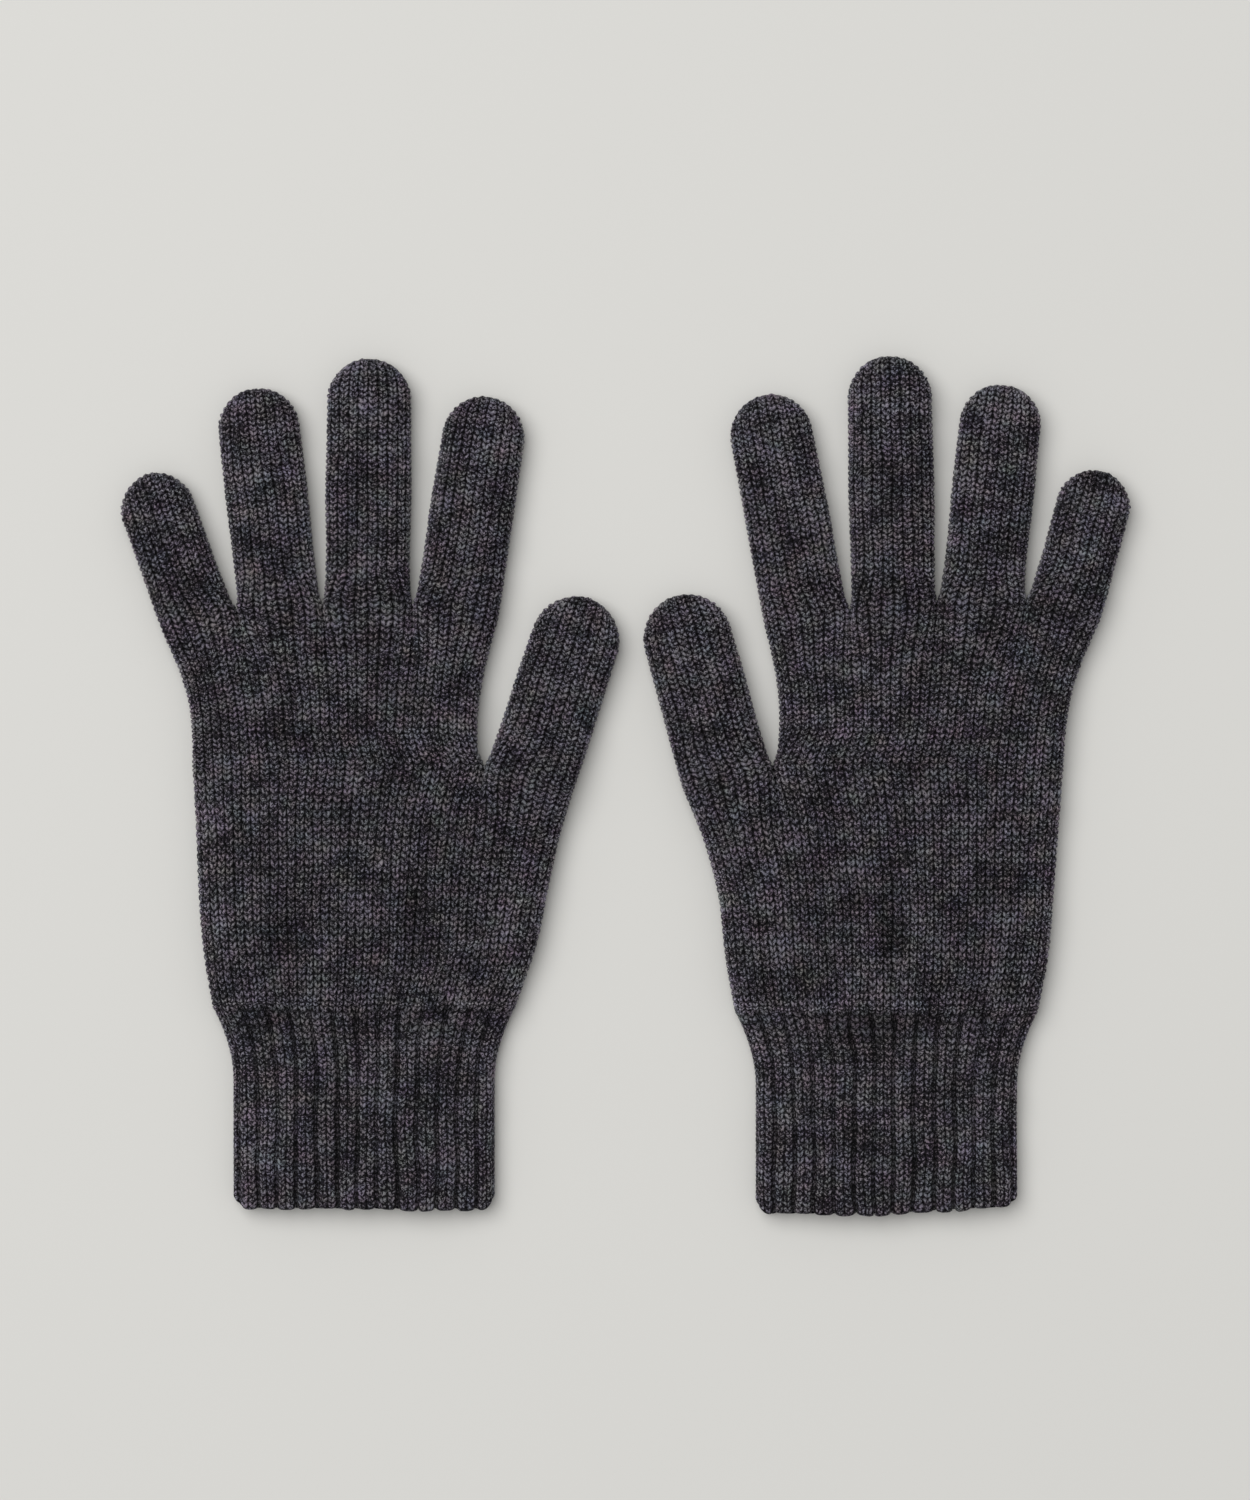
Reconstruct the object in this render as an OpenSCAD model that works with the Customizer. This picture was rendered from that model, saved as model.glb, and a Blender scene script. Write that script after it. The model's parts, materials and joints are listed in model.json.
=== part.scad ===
// A pair of knitted five-finger gloves with ribbed cuffs, empty and laid flat with the fingers towards +Y.
// Each glove is a set of hollow knitted tubes: a ribbed cuff with its bound-off edge, the hand below the
// thumb fork, the hand above it, and five digits. Each digit has two creases, where it folds up off the
// table, and the hand folds up at the wrist. Both gloves are drawn with the thumb towards +X and the wrist
// crease at y = 0, and the right one is then mirrored. Lengths are millimetres, angles degrees.

/* [Fabric] */
// Thickness of one layer of the knit
wall = 1.6; // [1.2:0.1:2]
// Thickness of one layer of the rib, over its crests
rib_wall = 2.2; // [1.8:0.1:2.6]
// Height of a finger, of the cuff and of every crease
tube_h = 10; // [9:0.5:12]
// Height of the hand at its fullest
hand_h = 12; // [10:0.5:14]
// Room between two parts that fold on each other
crease_gap = 0.4; // [0.3:0.1:0.8]

/* [Cuff] */
// Length of the cuff, from its edge to the wrist crease
cuff_length = 63; // [50:1:70]
// Width of the cuff laid flat
cuff_w = 81; // [76:0.5:86]
// Width of the wrist crease laid flat
wrist_w = 94; // [88:0.5:98]
// Ribs across one face of the cuff
rib_count = 14; // [11:1:15]
// Depth of the furrow between two ribs
rib_depth = 0.9; // [0.5:0.1:1.2]
// Length of the bound-off edge, whose ribs end in scallops
edge_length = 5; // [4.5:0.5:6]
// Roundness of the cuff's two lower corners
corner_r = 5; // [3:0.5:5]

/* [Digits] */
// Width of the little finger laid flat, at its root
little_w = 24; // [22:0.5:26]
// Width of the ring finger
ring_w = 26.5; // [24:0.5:28]
// Width of the middle finger
middle_w = 27.5; // [25:0.5:29]
// Width of the index finger
index_w = 27; // [24:0.5:28]
// Width of the thumb
thumb_w = 29; // [27:0.5:32]
// Width of a digit just before its rounded tip, as a share of its root
tip_share = 0.95; // [0.9:0.01:1]
// Place of the lower crease, as a share of a digit's length
root_crease = 0.2; // [0.18:0.01:0.24]
// Place of the upper crease, as a share of a digit's length
middle_crease = 0.57; // [0.52:0.01:0.6]

/* [Left glove] */
// Lean of the left little finger, positive towards the thumb
left_little_lean = -20.5; // [-21:0.5:-17]
// Lean of the left ring finger
left_ring_lean = -6.5; // [-7:0.5:-5]
// Lean of the left middle finger
left_middle_lean = 0.5; // [-0.5:0.5:1.5]
// Lean of the left index finger
left_index_lean = 9; // [8:0.5:11]
// Lean of the left thumb
left_thumb_lean = 18.5; // [16:0.5:20]
// Length of the left little finger, from its root to its tip
left_little_length = 48.5; // [42:0.5:50]
// Length of the left ring finger
left_ring_length = 68; // [60:1:72]
// Length of the left middle finger
left_middle_length = 76; // [70:1:82]
// Length of the left index finger
left_index_length = 67; // [60:1:72]
// Length of the left thumb
left_thumb_length = 59; // [56:0.5:66]

/* [Right glove] */
// Lean of the right little finger, positive towards the thumb
right_little_lean = -16; // [-17:0.5:-14]
// Lean of the right ring finger
right_ring_lean = -6; // [-6.5:0.5:-4.5]
// Lean of the right middle finger
right_middle_lean = 1; // [0:0.5:3]
// Lean of the right index finger
right_index_lean = 11; // [9:0.5:12]
// Lean of the right thumb
right_thumb_lean = 16; // [14:0.5:18]
// Length of the right little finger, from its root to its tip
right_little_length = 44.5; // [40:1:48]
// Length of the right ring finger
right_ring_length = 67; // [60:1:72]
// Length of the right middle finger
right_middle_length = 77; // [71:1:83]
// Length of the right index finger
right_index_length = 70; // [64:1:76]
// Length of the right thumb
right_thumb_length = 58.5; // [56:0.5:66]

/* [Place of the pair] */
// Left cuff's middle, towards -X from the middle of the pair
left_offset = 80.75; // [70:0.05:110]
// Right cuff's middle, towards +X from the middle of the pair
right_offset = 80.7; // [70:0.05:110]
// Left wrist crease, towards -Y from the middle of the pair
left_setback = 68.25; // [60:0.05:80]
// Right wrist crease, towards -Y from the middle of the pair
right_setback = 69.75; // [60:0.05:80]

/* [Hidden] */

charcoal = "#38383c";
rib_charcoal = "#323235";

// Order of the digits in every list, from the little finger to the thumb.
LITTLE = 0;
RING = 1;
MIDDLE = 2;
INDEX = 3;
THUMB = 4;
digit_w = [little_w, ring_w, middle_w, index_w, thumb_w];

// A glove's lay is [outer edge, thumb-side edge, finger forks, thumb fork, leans, lengths]. The two edges
// run up from above the wrist to the thumb fork's level, with as many points each. The forks run from the
// little finger's to the index finger's.
left_lay = [
    [[-49.9, 18], [-51.3, 36], [-52.1, 56], [-53.2, 74.6]],
    [[53.6, 19.5], [57.3, 37.5], [60.8, 53], [64.8, 66.5]],
    [[-39.5, 122.8], [-13, 124.3], [15, 124.3]],
    [37.1, 74.6],
    [left_little_lean, left_ring_lean, left_middle_lean, left_index_lean, left_thumb_lean],
    [left_little_length, left_ring_length, left_middle_length, left_index_length, left_thumb_length],
];
right_lay = [
    [[-50.3, 18], [-51.9, 37], [-53.3, 56], [-54.9, 76.1]],
    [[50, 17], [52.2, 36], [56.8, 53], [63, 68.3]],
    [[-43.2, 127.3], [-15.7, 126.8], [11.3, 124.3]],
    [35.1, 76.1],
    [right_little_lean, right_ring_lean, right_middle_lean, right_index_lean, right_thumb_lean],
    [right_little_length, right_ring_length, right_middle_length, right_index_length, right_thumb_length],
];
function outer_edge(lay) = concat([[-wrist_w / 2, 0]], lay[0]);
function thumb_edge(lay) = concat([[wrist_w / 2, 0]], lay[1]);
function forks(lay) = lay[2];
function thumb_fork(lay) = lay[3];
function lean(lay, digit) = lay[4][digit];
function length_of(lay, digit) = lay[5][digit];

digit_facets = 8;      // steps across a digit's upper face, and as many across its underside
hand_facets = 10;      // the same for the hand below the thumb fork
finger_facets = 5;     // steps across each finger's share of the upper hand
tip_rings = 4;         // rings in a rounded fingertip
belly = 0.42;          // height of a tube's widest line, as a share of its height
roundness = 2.4;       // power of the rounded cross-section, where 2 is an ellipse
flat_underside = 1.35; // how soon the underside meets the table, where 1 is only at its middle
fork_web = 0.3;        // height of the web at a fork, as a share of the tube's
beyond = 1;            // how far a cavity runs past an open end

function lerp(a, b, t) = a + (b - a) * t;
function unit(v) = v / norm(v);
function smooth(t) = let (c = min(1, max(0, t))) c * c * (3 - 2 * c);
function up_digit(lean) = [sin(lean), cos(lean)];
function across_digit(lean) = [cos(lean), -sin(lean)];
// A smooth curve through points, at t from 0 to 1.
function curve(points, t) =
    let (
        last = len(points) - 1,
        i = min(floor(t * last), last - 1),
        u = t * last - i,
        a = points[max(i - 1, 0)],
        b = points[i],
        c = points[i + 1],
        d = points[min(i + 2, last)]
    )
    b + (c - a) * u / 2 + (2 * a - 5 * b + 4 * c - d) * u * u / 2 + (3 * b - a - 3 * c + d) * u * u * u / 2;
// From -1 to 1, closer together towards both ends.
function spread(steps) = [for (i = [0:steps]) -cos(180 * i / steps)];
// Height of a rounded cross-section at s from -1 to 1, as a share of its height at the middle.
function dome(s) = pow(max(0, 1 - pow(abs(s), roundness)), 1 / roundness);

// One cross-section of a tube as a ring of points: along the upper face over each plan point, and back
// along the underside. crown is the dome's height over each plan point, and inset is 0 for the outer
// face or the fabric's thickness for the inner one.
function ring(plan, crown, h, inset = 0) =
    let (middle = belly * h, last = len(plan) - 1)
    concat(
        [for (i = [0:last])
            [plan[i].x, plan[i].y, middle + (h - inset - middle) * crown[i]]],
        [for (i = [last - 1:-1:1])
            [plan[i].x, plan[i].y, middle - (middle - inset) * min(1, flat_underside * crown[i])]]
    );

// A solid through rings of the same number of points, closed at both ends by strips from face to face.
module loft(rings) {
    n = len(rings[0]);
    last = n / 2;
    under = function (i) i == 0 || i == last ? i : n - i;
    sides = [
        for (r = [0:len(rings) - 2], i = [0:n - 1])
            let (a = r * n + i, b = r * n + (i + 1) % n)
            each [[a, a + n, b], [b, a + n, b + n]]
    ];
    end_strip = function (start, turn) [
        for (i = [0:last - 1])
            let (corners = [i, i + 1, under(i + 1), under(i)])
            let (face = i == 0 ? [0, 1, under(1)] : i == last - 1 ? [last - 1, last, under(last - 1)] : corners)
            turn ? [for (k = [len(face) - 1:-1:0]) start + face[k]] : [for (k = face) start + k]
    ];
    polyhedron(
        points = [for (r = rings) each r],
        faces = concat(sides, end_strip(0, false), end_strip((len(rings) - 1) * n, true)),
        convexity = 6
    );
}

// A ring straight across a digit or the cuff, centred on a plan point.
function straight_ring(centre, lean, w, h, inset = 0, squash = 1) =
    let (s = spread(digit_facets))
    ring([for (t = s) centre + across_digit(lean) * t * (w / 2 - inset)], [for (t = s) dome(t) * squash], h, inset);

// The five ends of the finger roots, from the little finger's outer side to the index finger's.
function knuckles(lay) =
    let (f = forks(lay))
    concat(
        [f[0] - across_digit(lean(lay, LITTLE)) * digit_w[LITTLE]],
        f,
        [f[2] + across_digit(lean(lay, INDEX)) * digit_w[INDEX]]
    );

// Middle of a digit's root, at its fork's level.
function root_of(lay, digit) =
    digit == THUMB
    ? thumb_fork(lay) + across_digit(lean(lay, THUMB)) * thumb_w / 2
    : (knuckles(lay)[digit] + knuckles(lay)[digit + 1]) / 2;

function place_on(lay, digit, along) = root_of(lay, digit) + up_digit(lean(lay, digit)) * along;
function width_at(lay, digit, along) =
    digit_w[digit] * lerp(1, tip_share, smooth(along / length_of(lay, digit)));

// A stretch of digit, solid, from one distance along it to another.
module digit_stretch(lay, digit, from, to, inset = 0) {
    a = lean(lay, digit);
    loft([
        for (along = [from, to])
            straight_ring(place_on(lay, digit, along), a, width_at(lay, digit, along), tube_h, inset)
    ]);
}

// The closed end of a digit, solid, from a distance along it to its rounded tip.
module digit_end(lay, digit, from, inset = 0) {
    a = lean(lay, digit);
    end = length_of(lay, digit) - inset;
    tip_r = width_at(lay, digit, end) / 2 - inset;
    loft(concat(
        [straight_ring(place_on(lay, digit, from), a, width_at(lay, digit, from), tube_h, inset)],
        [for (i = [0:tip_rings])
            let (turn = 84 * i / tip_rings)
            let (along = end - tip_r * (1 - sin(turn)))
            straight_ring(place_on(lay, digit, along), a,
                (width_at(lay, digit, along) - 2 * inset) * cos(turn) + 2 * inset, tube_h, inset,
                pow(cos(turn), 0.6))]
    ));
}

module digit_base(lay, digit) {
    from = length_of(lay, digit) * root_crease + crease_gap / 2;
    to = length_of(lay, digit) * middle_crease - crease_gap / 2;
    color(charcoal)
    difference() {
        digit_stretch(lay, digit, from, to);
        digit_stretch(lay, digit, from - beyond, to + beyond, wall);
    }
}

module digit_tip(lay, digit) {
    from = length_of(lay, digit) * middle_crease + crease_gap / 2;
    color(charcoal)
    difference() {
        digit_end(lay, digit, from);
        digit_end(lay, digit, from - beyond, wall);
    }
}

// Plan points along a chain of knots, with each link's points closer together towards its ends.
function along_chain(knots, steps) = [
    for (k = [0:len(knots) - 2])
        for (i = [(k == 0 ? 0 : 1):steps[k]])
            lerp(knots[k], knots[k + 1], (1 - cos(180 * i / steps[k])) / 2)
];
// Share of the whole width, from -1 to 1, at each of those points.
function share_along(points) =
    let (last = len(points) - 1, whole = norm(points[last] - points[0]))
    [for (p = points) min(1, 2 * norm(p - points[0]) / whole - 1)];
// Domes of one tube over the whole chain, and of one tube over each link. The last link's share of the
// full height is stated, because the thumb is lower than the hand beside it.
function one_dome(points) = [for (s = share_along(points)) dome(s)];
function link_domes(knots, steps, last_share) = [
    for (k = [0:len(knots) - 2])
        for (i = [(k == 0 ? 0 : 1):steps[k]])
            (k == 0 && i == 0) || (k == len(knots) - 2 && i == steps[k])
            ? 0
            : max(fork_web, dome(cos(180 * i / steps[k])) * (k == len(knots) - 2 ? last_share : 1))
];

// A ring across the hand. parted is 0 where the hand is one tube and 1 where it has parted into tubes.
function hand_ring(knots, steps, h, parted, inset = 0, last_share = 1) =
    let (
        last = len(knots) - 1,
        outer = knots[0] + unit(knots[1] - knots[0]) * inset,
        inner = knots[last] + unit(knots[last - 1] - knots[last]) * inset,
        drawn = [for (k = [0:last]) k == 0 ? outer : k == last ? inner : knots[k]],
        points = along_chain(drawn, steps),
        whole = one_dome(points),
        each_link = link_domes(drawn, steps, last_share)
    )
    ring(points, [for (i = [0:len(points) - 1]) lerp(whole[i], each_link[i], parted)], h, inset);

// Height of the hand between the wrist and the finger roots. It swells just above the rib.
function hand_height(t) = lerp(tube_h, hand_h, min(smooth(9 * t), smooth(3 - 3 * t)));

lower_steps = [hand_facets, finger_facets];
// Rings of the lower hand, from the wrist to the thumb fork.
function lower_rings(lay, inset = 0, top = 1) =
    let (
        outer = outer_edge(lay),
        inner = thumb_edge(lay),
        last = len(outer) - 1,
        fork = thumb_fork(lay),
        share = norm(fork - outer[last]) / (norm(fork - outer[last]) + norm(inner[last] - fork)),
        wrist_fork = lerp(outer[0], inner[0], share)
    )
    [for (t = [0, 0.1, 0.2, 0.35, 0.5, 0.65, 0.8, 1])
        let (
            u = min(t, top),
            h = hand_height(u * 0.6),
            middle = belly * h,
            thumb_share = (tube_h - inset - middle) / (h - inset - middle)
        )
        hand_ring([curve(outer, u), lerp(wrist_fork, fork, u), curve(inner, u)],
            lower_steps, h, smooth((u - 0.75) * 4), inset, thumb_share)];

upper_steps = [for (finger = [LITTLE:INDEX]) finger_facets];
// Rings of the upper hand, from the thumb fork to the finger roots.
function upper_rings(lay, inset = 0, top = 1) =
    let (
        low = outer_edge(lay)[len(outer_edge(lay)) - 1],
        fork = thumb_fork(lay),
        roots = knuckles(lay)
    )
    [for (t = [0, 0.35, 0.6, 0.8, 0.92, 1])
        let (
            u = min(t, top),
            bow = -2.5 * sin(180 * u),
            knots = [for (k = [0:4])
                lerp(lerp(low, fork, k / 4), roots[k], u)
                + [k == 0 ? -bow * 1.2 : k == 4 ? bow : 0, 0]]
        )
        hand_ring(knots, upper_steps, hand_height(0.6 + 0.4 * u), smooth((u - 0.6) * 2.5), inset)];

module lower_hand(lay) {
    thumb_cut = length_of(lay, THUMB) * root_crease - crease_gap / 2;
    outer = outer_edge(lay);
    fork = thumb_fork(lay);
    top_edge = [outer[len(outer) - 1], fork];
    color(charcoal)
    difference() {
        union() {
            loft(lower_rings(lay));
            digit_stretch(lay, THUMB, -2, thumb_cut);
        }
        loft(lower_rings(lay, wall, 0.94));
        // The way into the upper hand, the way into the thumb, and the open wrist.
        loft([for (y = [-8, beyond])
            hand_ring([top_edge[0] + [0, y], (top_edge[0] + top_edge[1]) / 2 + [0, y], top_edge[1] + [0, y]],
                lower_steps, hand_height(0.6), 0, wall)]);
        digit_stretch(lay, THUMB, -9, thumb_cut + beyond, wall);
        loft([for (y = [-beyond, crease_gap])
            hand_ring([outer[0] + [0, y], [0, y], thumb_edge(lay)[0] + [0, y]], lower_steps, tube_h, 0, wall)]);
        // Room for the wrist crease.
        translate([-cuff_w, crease_gap / 2 - tube_h, -tube_h])
            cube([2 * cuff_w, tube_h, 3 * tube_h]);
    }
}

module upper_hand(lay) {
    outer = outer_edge(lay);
    fork = thumb_fork(lay);
    color(charcoal)
    difference() {
        union() {
            loft(upper_rings(lay));
            for (finger = [LITTLE:INDEX])
                digit_stretch(lay, finger, -2, length_of(lay, finger) * root_crease - crease_gap / 2);
        }
        loft(upper_rings(lay, wall, 0.94));
        for (finger = [LITTLE:INDEX])
            digit_stretch(lay, finger, -8, length_of(lay, finger) * root_crease + beyond, wall);
        // The way down into the lower hand.
        loft([for (y = [-beyond, 0.5])
            hand_ring([for (k = [0:4]) lerp(outer[len(outer) - 1], fork, k / 4) + [0, y]],
                upper_steps, hand_height(0.6), 0, wall)]);
    }
}

rib_facets = 4; // steps across one rib
flare_length = 24; // stretch of cuff that widens into the wrist
// Half the cuff's width at a place along it.
function cuff_half_w(y) = lerp(cuff_w, wrist_w, pow(max(0, 1 + y / flare_length), 2)) / 2;
// Ribs stand proud of the furrows between them on both faces.
function rib_ring(y) =
    let (
        steps = rib_count * rib_facets,
        s = [for (i = [0:steps]) 2 * i / steps - 1],
        rise = [for (t = s) rib_depth * sqrt(abs(sin(90 * rib_count * (t + 1))))],
        core = tube_h - rib_depth,
        middle = belly * tube_h
    )
    concat(
        [for (i = [0:steps])
            [s[i] * cuff_half_w(y), y, middle + (core - middle) * dome(s[i]) + rise[i]]],
        [for (i = [steps - 1:-1:1])
            [s[i] * cuff_half_w(y), y,
                middle - (middle - rib_depth) * min(1, flat_underside * dome(s[i])) - rise[i]]]
    );

// Ribbed tube between two places along the cuff.
module ribbed_tube(from, to) {
    stations = [from, for (y = [-22, -13, -6]) if (y > from && y < to) y, to];
    difference() {
        loft([for (y = stations) rib_ring(y)]);
        loft([for (y = [from - beyond, for (y = stations) y, to + beyond])
            straight_ring([0, y], 0, 2 * cuff_half_w(min(y, 0)), tube_h, rib_wall)]);
    }
}

module cuff() {
    color(rib_charcoal)
        ribbed_tube(edge_length - cuff_length, -crease_gap / 2);
}

// The bound-off edge: each rib ends in a shallow scallop, and the two folded corners are round.
module cuff_edge() {
    pitch = cuff_w / rib_count;
    scallop_r = 0.8 * pitch;
    color(rib_charcoal)
    intersection() {
        ribbed_tube(-cuff_length, edge_length - cuff_length);
        translate([0, -cuff_length, -tube_h / 2])
            linear_extrude(2 * tube_h) {
                for (end = [-1, 1])
                    translate([end * (cuff_w / 2 - corner_r), corner_r])
                        circle(corner_r, $fn = 32);
                intersection() {
                    translate([corner_r - cuff_w / 2, 0])
                        square([cuff_w - 2 * corner_r, 2 * edge_length]);
                    for (rib = [0:rib_count - 1])
                        translate([(rib + 0.5) * pitch - cuff_w / 2, scallop_r])
                            circle(scallop_r, $fn = 32);
                }
                translate([-cuff_w / 2, corner_r])
                    square([cuff_w, edge_length]);
            }
    }
}

module place(side) {
    if (side == "left")
        translate([-left_offset, -left_setback, 0])
            children();
    else
        translate([right_offset, -right_setback, 0])
            mirror([1, 0, 0])
                children();
}

module piece_of_glove(lay, piece) {
    if (piece == "cuff_edge") cuff_edge();
    if (piece == "cuff") cuff();
    if (piece == "lower_hand") lower_hand(lay);
    if (piece == "upper_hand") upper_hand(lay);
    if (piece == "thumb_base") digit_base(lay, THUMB);
    if (piece == "thumb_tip") digit_tip(lay, THUMB);
    if (piece == "index_base") digit_base(lay, INDEX);
    if (piece == "index_tip") digit_tip(lay, INDEX);
    if (piece == "middle_base") digit_base(lay, MIDDLE);
    if (piece == "middle_tip") digit_tip(lay, MIDDLE);
    if (piece == "ring_base") digit_base(lay, RING);
    if (piece == "ring_tip") digit_tip(lay, RING);
    if (piece == "little_base") digit_base(lay, LITTLE);
    if (piece == "little_tip") digit_tip(lay, LITTLE);
}

module glove_piece(side, piece) {
    place(side)
        piece_of_glove(side == "left" ? left_lay : right_lay, piece);
}

glove_piece("left", "cuff_edge");  // left_cuff_edge
glove_piece("left", "cuff");  // left_cuff
glove_piece("left", "lower_hand");  // left_lower_hand
glove_piece("left", "upper_hand");  // left_upper_hand
glove_piece("left", "thumb_base");  // left_thumb_base
glove_piece("left", "thumb_tip");  // left_thumb_tip
glove_piece("left", "index_base");  // left_index_base
glove_piece("left", "index_tip");  // left_index_tip
glove_piece("left", "middle_base");  // left_middle_base
glove_piece("left", "middle_tip");  // left_middle_tip
glove_piece("left", "ring_base");  // left_ring_base
glove_piece("left", "ring_tip");  // left_ring_tip
glove_piece("left", "little_base");  // left_little_base
glove_piece("left", "little_tip");  // left_little_tip
glove_piece("right", "cuff_edge");  // right_cuff_edge
glove_piece("right", "cuff");  // right_cuff
glove_piece("right", "lower_hand");  // right_lower_hand
glove_piece("right", "upper_hand");  // right_upper_hand
glove_piece("right", "thumb_base");  // right_thumb_base
glove_piece("right", "thumb_tip");  // right_thumb_tip
glove_piece("right", "index_base");  // right_index_base
glove_piece("right", "index_tip");  // right_index_tip
glove_piece("right", "middle_base");  // right_middle_base
glove_piece("right", "middle_tip");  // right_middle_tip
glove_piece("right", "ring_base");  // right_ring_base
glove_piece("right", "ring_tip");  // right_ring_tip
glove_piece("right", "little_base");  // right_little_base
glove_piece("right", "little_tip");  // right_little_tip
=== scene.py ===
"""A pair of charcoal gloves: plain-knit hands and digits, ribbed cuffs, laid flat with the thumbs inwards.

Each glove is knitted here the way the real one is. Its wales, the columns of stitches, lie side by side
round each tube, and its courses, the rows, follow each other up it. A piece is a grid with a few points for
each stitch, on the tube's surface, pushed in and out by the shape of the yarn. Lengths are millimetres in a
glove's own frame, with the thumb towards +X and the wrist crease at y = 0, until place() turns them into
the frame's metres.
"""
import json
import math
from collections import namedtuple
from functools import partial

import bpy
import numpy as np
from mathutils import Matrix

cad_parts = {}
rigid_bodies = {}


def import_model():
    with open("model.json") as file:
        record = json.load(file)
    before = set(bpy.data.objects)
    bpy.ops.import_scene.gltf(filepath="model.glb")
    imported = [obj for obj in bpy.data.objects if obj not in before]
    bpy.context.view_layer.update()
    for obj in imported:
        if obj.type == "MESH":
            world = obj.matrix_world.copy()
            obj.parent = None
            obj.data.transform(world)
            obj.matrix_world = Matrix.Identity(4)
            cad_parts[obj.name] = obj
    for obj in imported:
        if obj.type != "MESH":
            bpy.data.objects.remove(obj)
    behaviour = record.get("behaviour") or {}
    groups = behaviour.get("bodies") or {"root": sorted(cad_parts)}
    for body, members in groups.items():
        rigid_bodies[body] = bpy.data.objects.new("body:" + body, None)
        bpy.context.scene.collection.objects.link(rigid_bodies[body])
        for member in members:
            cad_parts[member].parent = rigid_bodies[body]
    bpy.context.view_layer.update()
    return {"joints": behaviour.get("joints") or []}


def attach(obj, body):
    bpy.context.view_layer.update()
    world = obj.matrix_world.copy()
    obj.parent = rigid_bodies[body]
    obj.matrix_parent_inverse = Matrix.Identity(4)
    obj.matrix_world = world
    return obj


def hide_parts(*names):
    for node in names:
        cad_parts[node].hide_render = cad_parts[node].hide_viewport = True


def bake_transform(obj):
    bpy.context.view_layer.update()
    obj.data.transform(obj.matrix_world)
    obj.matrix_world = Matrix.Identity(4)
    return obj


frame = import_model()

MM = 0.001  # in the frame's metres

# --- The gloves' sizes ---------------------------------------------------------------------------------

DIGIT_WIDTH = {"little": 24, "ring": 26.5, "middle": 27.5, "index": 27, "thumb": 29}
FINGERS = ["little", "ring", "middle", "index"]
TIP_SHARE = 0.95  # width just before the rounded tip, as a share of the root's
ROOT_CREASE = 0.2  # places of a digit's two creases, as shares of its length
MIDDLE_CREASE = 0.57
SPLIT = 0.42  # where a digit's two pieces meet, as a share of its length, between the creases

CUFF_LENGTH = 63
CUFF_WIDTH = 81  # where the rib draws the cuff in
WRIST_WIDTH = 94  # at the wrist crease
FLARE = 24  # stretch of cuff that widens into the wrist
CORNER = 5  # roundness of the cuff's two lower corners
CUFF_TOP = -12  # where the cuff's piece meets the hand's, below the wrist crease

TUBE_HEIGHT = 10  # of a finger and of the cuff
HAND_HEIGHT = 12  # and of the thumb's root
BELLY = 0.42  # height of a tube's widest line, as a share of its height
ROUNDNESS = 3.8  # power of the rounded cross-section, where 2 is an ellipse
UNDERSIDE_FLATNESS = 1.2  # how much sooner the underside levels out than the top does
FORK_WEB = 0.3  # height of the web at a fork, as a share of the tube's
WEB_LENGTH = 7  # how far past the fork it reaches
SIDE_OPENING = 11  # how far past a fork a digit's side wales open up
FORK_SLACK = 0.6  # how far a digit's side draws in just past a fork
WALL = 1.6  # thickness of the knit
INNER_TUCK = 0.4  # how far the wall's inside follows the bound-off edge, as a share

# Points of the lower hand's side edges above the wrist: the outer edge, then the thumb's.
EDGES = {
    "left": (
        [(-49.9, 18), (-51.3, 36), (-52.1, 56), (-53.2, 74.6)],
        [(53.6, 19.5), (57.3, 37.5), (60.8, 53), (64.8, 66.5)],
    ),
    "right": (
        [(-50.3, 18), (-51.9, 37), (-53.3, 56), (-54.9, 76.1)],
        [(50, 17), (52.2, 36), (56.8, 53), (63, 68.3)],
    ),
}

# Dents and swellings of the upper layer: the place, spread and height of each.
FOLDS = {
    "left": [
        ((17, 27), (4, 11), -3.8),
        ((-23, 24), (5, 10), -2.6),
        ((48, 84), (12, 5), 2.4),
        ((-26, 140), (11, 4), -2),
        ((22, 112), (10, 4), 1.5),
    ],
    "right": [
        ((-1.5, 25), (3, 17), -2.9),
        ((5, 23), (4, 12), 1.2),
        ((-11, 23), (5, 12), 1),
        ((5, -6), (9, 2.6), -2.4),
        ((-32, 0), (6, 3), -2),
        ((17, 89), (15, 5), 2.6),
        ((27, 119), (11, 5), 2.2),
    ],
}

# Long folds that lean sideways on the way up the hand: foot, lean, spread, y of the top, and their height.
SLANT_FOLDS = {"left": [((12.56, 2), 1.24, 4, 40, 2.2)], "right": []}
SLANT_ENDS = (8, 10)  # lengths over which they grow at the foot and fade at the top

# --- The knit ------------------------------------------------------------------------------------------

FRONT_WALES = {"little": 7, "ring": 8, "middle": 8, "index": 8, "thumb": 8}
SIDE_WALES = 3  # wales that turn round each side of a tube
HALF_SIDE = SIDE_WALES / 2
WALE = 2.8  # width of a wale
COURSE = 1.83  # height of a course in the fingers
FRONT_STEPS = 6  # points across a wale
BACK_STEPS = 4  # the same on the underside of the hand and cuff
COURSE_STEPS = 5  # points up a course
INNER_SKIP = 10  # the inner face has one row of points for this many of the outer's

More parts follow.
